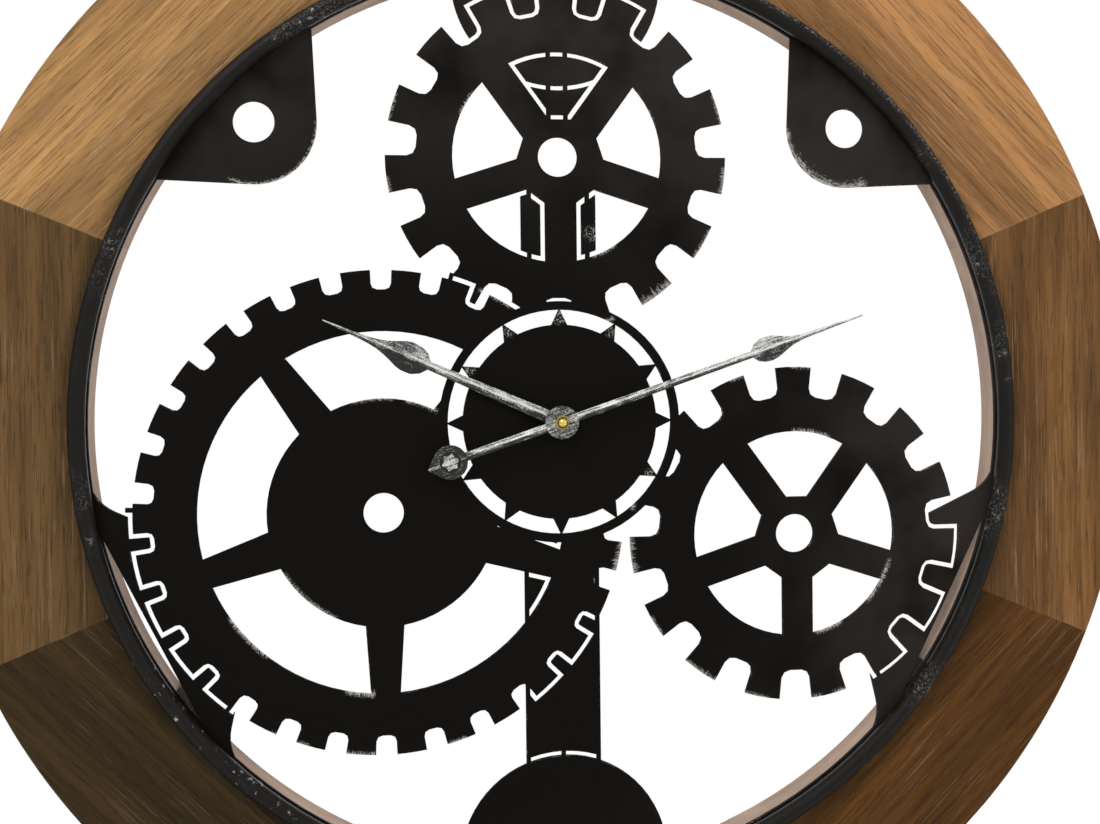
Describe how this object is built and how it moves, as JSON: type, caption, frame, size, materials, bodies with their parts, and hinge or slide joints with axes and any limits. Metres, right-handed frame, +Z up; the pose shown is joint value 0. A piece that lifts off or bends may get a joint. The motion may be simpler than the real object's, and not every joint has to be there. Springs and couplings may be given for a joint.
{
  "type": "gear wall clock",
  "caption": "Round wall clock: a wooden ring and a round steel hoop carry a laser-cut black gear plate with a small spiked dial, spade hands and a battery movement",
  "frame": {"origin": "middle of the keyhole's round entry, on the back face of the hanging strap", "axes": "+X to the right of a viewer in front, +Z up, -Y towards the viewer; the wall is at +Y"},
  "size_m": [0.5648, 0.036, 0.5648],
  "materials": {
    "stained_wood": "stained, satin, grain along each board",
    "blackened_steel": "black, rubbed to bare metal at the edges",
    "strap_steel": "black, satin",
    "zinc_steel": "zinc plated",
    "bumper_rubber": "matt",
    "hand_metal": "antique silver, darkened",
    "brass_parts": "polished",
    "white_plastic": "moulded",
    "copper_wire": "enamelled copper wire",
    "board_plastic": "green laminate",
    "contact_metal": "nickel plated",
    "cell_jacket": "printed jacket, plain",
    "black_plastic": "fine texture"
  },
  "bodies": {
    "clock": {"gear_plate": "blackened_steel", "inner_hoop": "blackened_steel", "wood_board_1": "stained_wood", "wood_board_2": "stained_wood", "wood_board_3": "stained_wood", "wood_board_4": "stained_wood", "wood_board_5": "stained_wood", "wood_board_6": "stained_wood", "wood_board_7": "stained_wood", "wood_board_8": "stained_wood", "hanger_strap": "strap_steel", "strap_upper_right": "strap_steel", "strap_upper_left": "strap_steel", "strap_lower_left": "strap_steel", "strap_lower_right": "strap_steel", "strap_bottom": "strap_steel", "strap_screws": "zinc_steel", "wall_bumpers": "bumper_rubber", "hex_nut": "brass_parts", "brass_washer": "brass_parts", "rubber_washer": "bumper_rubber", "centre_bush": "brass_parts", "movement_case": "black_plastic", "movement_cover": "black_plastic", "stator": "zinc_steel", "coil": "copper_wire", "circuit_board": "board_plastic", "contact_plus": "contact_metal", "contact_minus": "contact_metal"},
    "hour": {"hour_hand": "hand_metal", "hour_wheel": "white_plastic"},
    "minute": {"minute_hand": "hand_metal", "minute_arbor": "zinc_steel", "cap_nut": "brass_parts"},
    "works": {"works_wheel": "white_plastic", "setting_knob": "white_plastic"},
    "centre": {"centre_wheel": "white_plastic"},
    "third": {"third_wheel": "white_plastic"},
    "second": {"second_wheel": "white_plastic"},
    "intermediate": {"intermediate_wheel": "white_plastic"},
    "rotor": {"rotor": "white_plastic"},
    "battery": {"battery_cell": "cell_jacket"}
  },
  "joints": [
    {"name": "minute_hand_spin", "type": "hinge", "parent": "clock", "child": "minute", "pos_m": [0, 0, -0.25], "axis": [0, 1, 0], "continuous": true},
    {"name": "hour_hand_spin", "type": "hinge", "parent": "clock", "child": "hour", "pos_m": [0, 0, -0.25], "axis": [0, 1, 0], "continuous": true},
    {"name": "works_wheel_spin", "type": "hinge", "parent": "clock", "child": "works", "pos_m": [-0.0086, 0, -0.25], "axis": [0, 1, 0], "continuous": true},
    {"name": "rotor_spin", "type": "hinge", "parent": "clock", "child": "rotor", "pos_m": [0, 0, -0.23455], "axis": [0, 1, 0], "continuous": true},
    {"name": "intermediate_wheel_spin", "type": "hinge", "parent": "clock", "child": "intermediate", "pos_m": [0, 0, -0.2419], "axis": [0, 1, 0], "continuous": true},
    {"name": "second_wheel_spin", "type": "hinge", "parent": "clock", "child": "second", "pos_m": [0, 0, -0.25], "axis": [0, 1, 0], "continuous": true},
    {"name": "third_wheel_spin", "type": "hinge", "parent": "clock", "child": "third", "pos_m": [0.0081, 0, -0.25], "axis": [0, 1, 0], "continuous": true},
    {"name": "centre_wheel_spin", "type": "hinge", "parent": "clock", "child": "centre", "pos_m": [0, 0, -0.25], "axis": [0, 1, 0], "continuous": true},
    {"name": "battery_lift", "type": "slide", "parent": "clock", "child": "battery", "axis": [0, 1, 0], "range_m": [0, 0.018]}
  ],
  "couplings": [
    {"joint": "hour_hand_spin", "follows": "minute_hand_spin", "ratio": 0.083333},
    {"joint": "works_wheel_spin", "follows": "minute_hand_spin", "ratio": -0.33333},
    {"joint": "intermediate_wheel_spin", "follows": "rotor_spin", "ratio": -0.16667},
    {"joint": "second_wheel_spin", "follows": "rotor_spin", "ratio": 0.033333},
    {"joint": "third_wheel_spin", "follows": "rotor_spin", "ratio": -0.0044444},
    {"joint": "centre_wheel_spin", "follows": "rotor_spin", "ratio": 0.00055556}
  ]
}
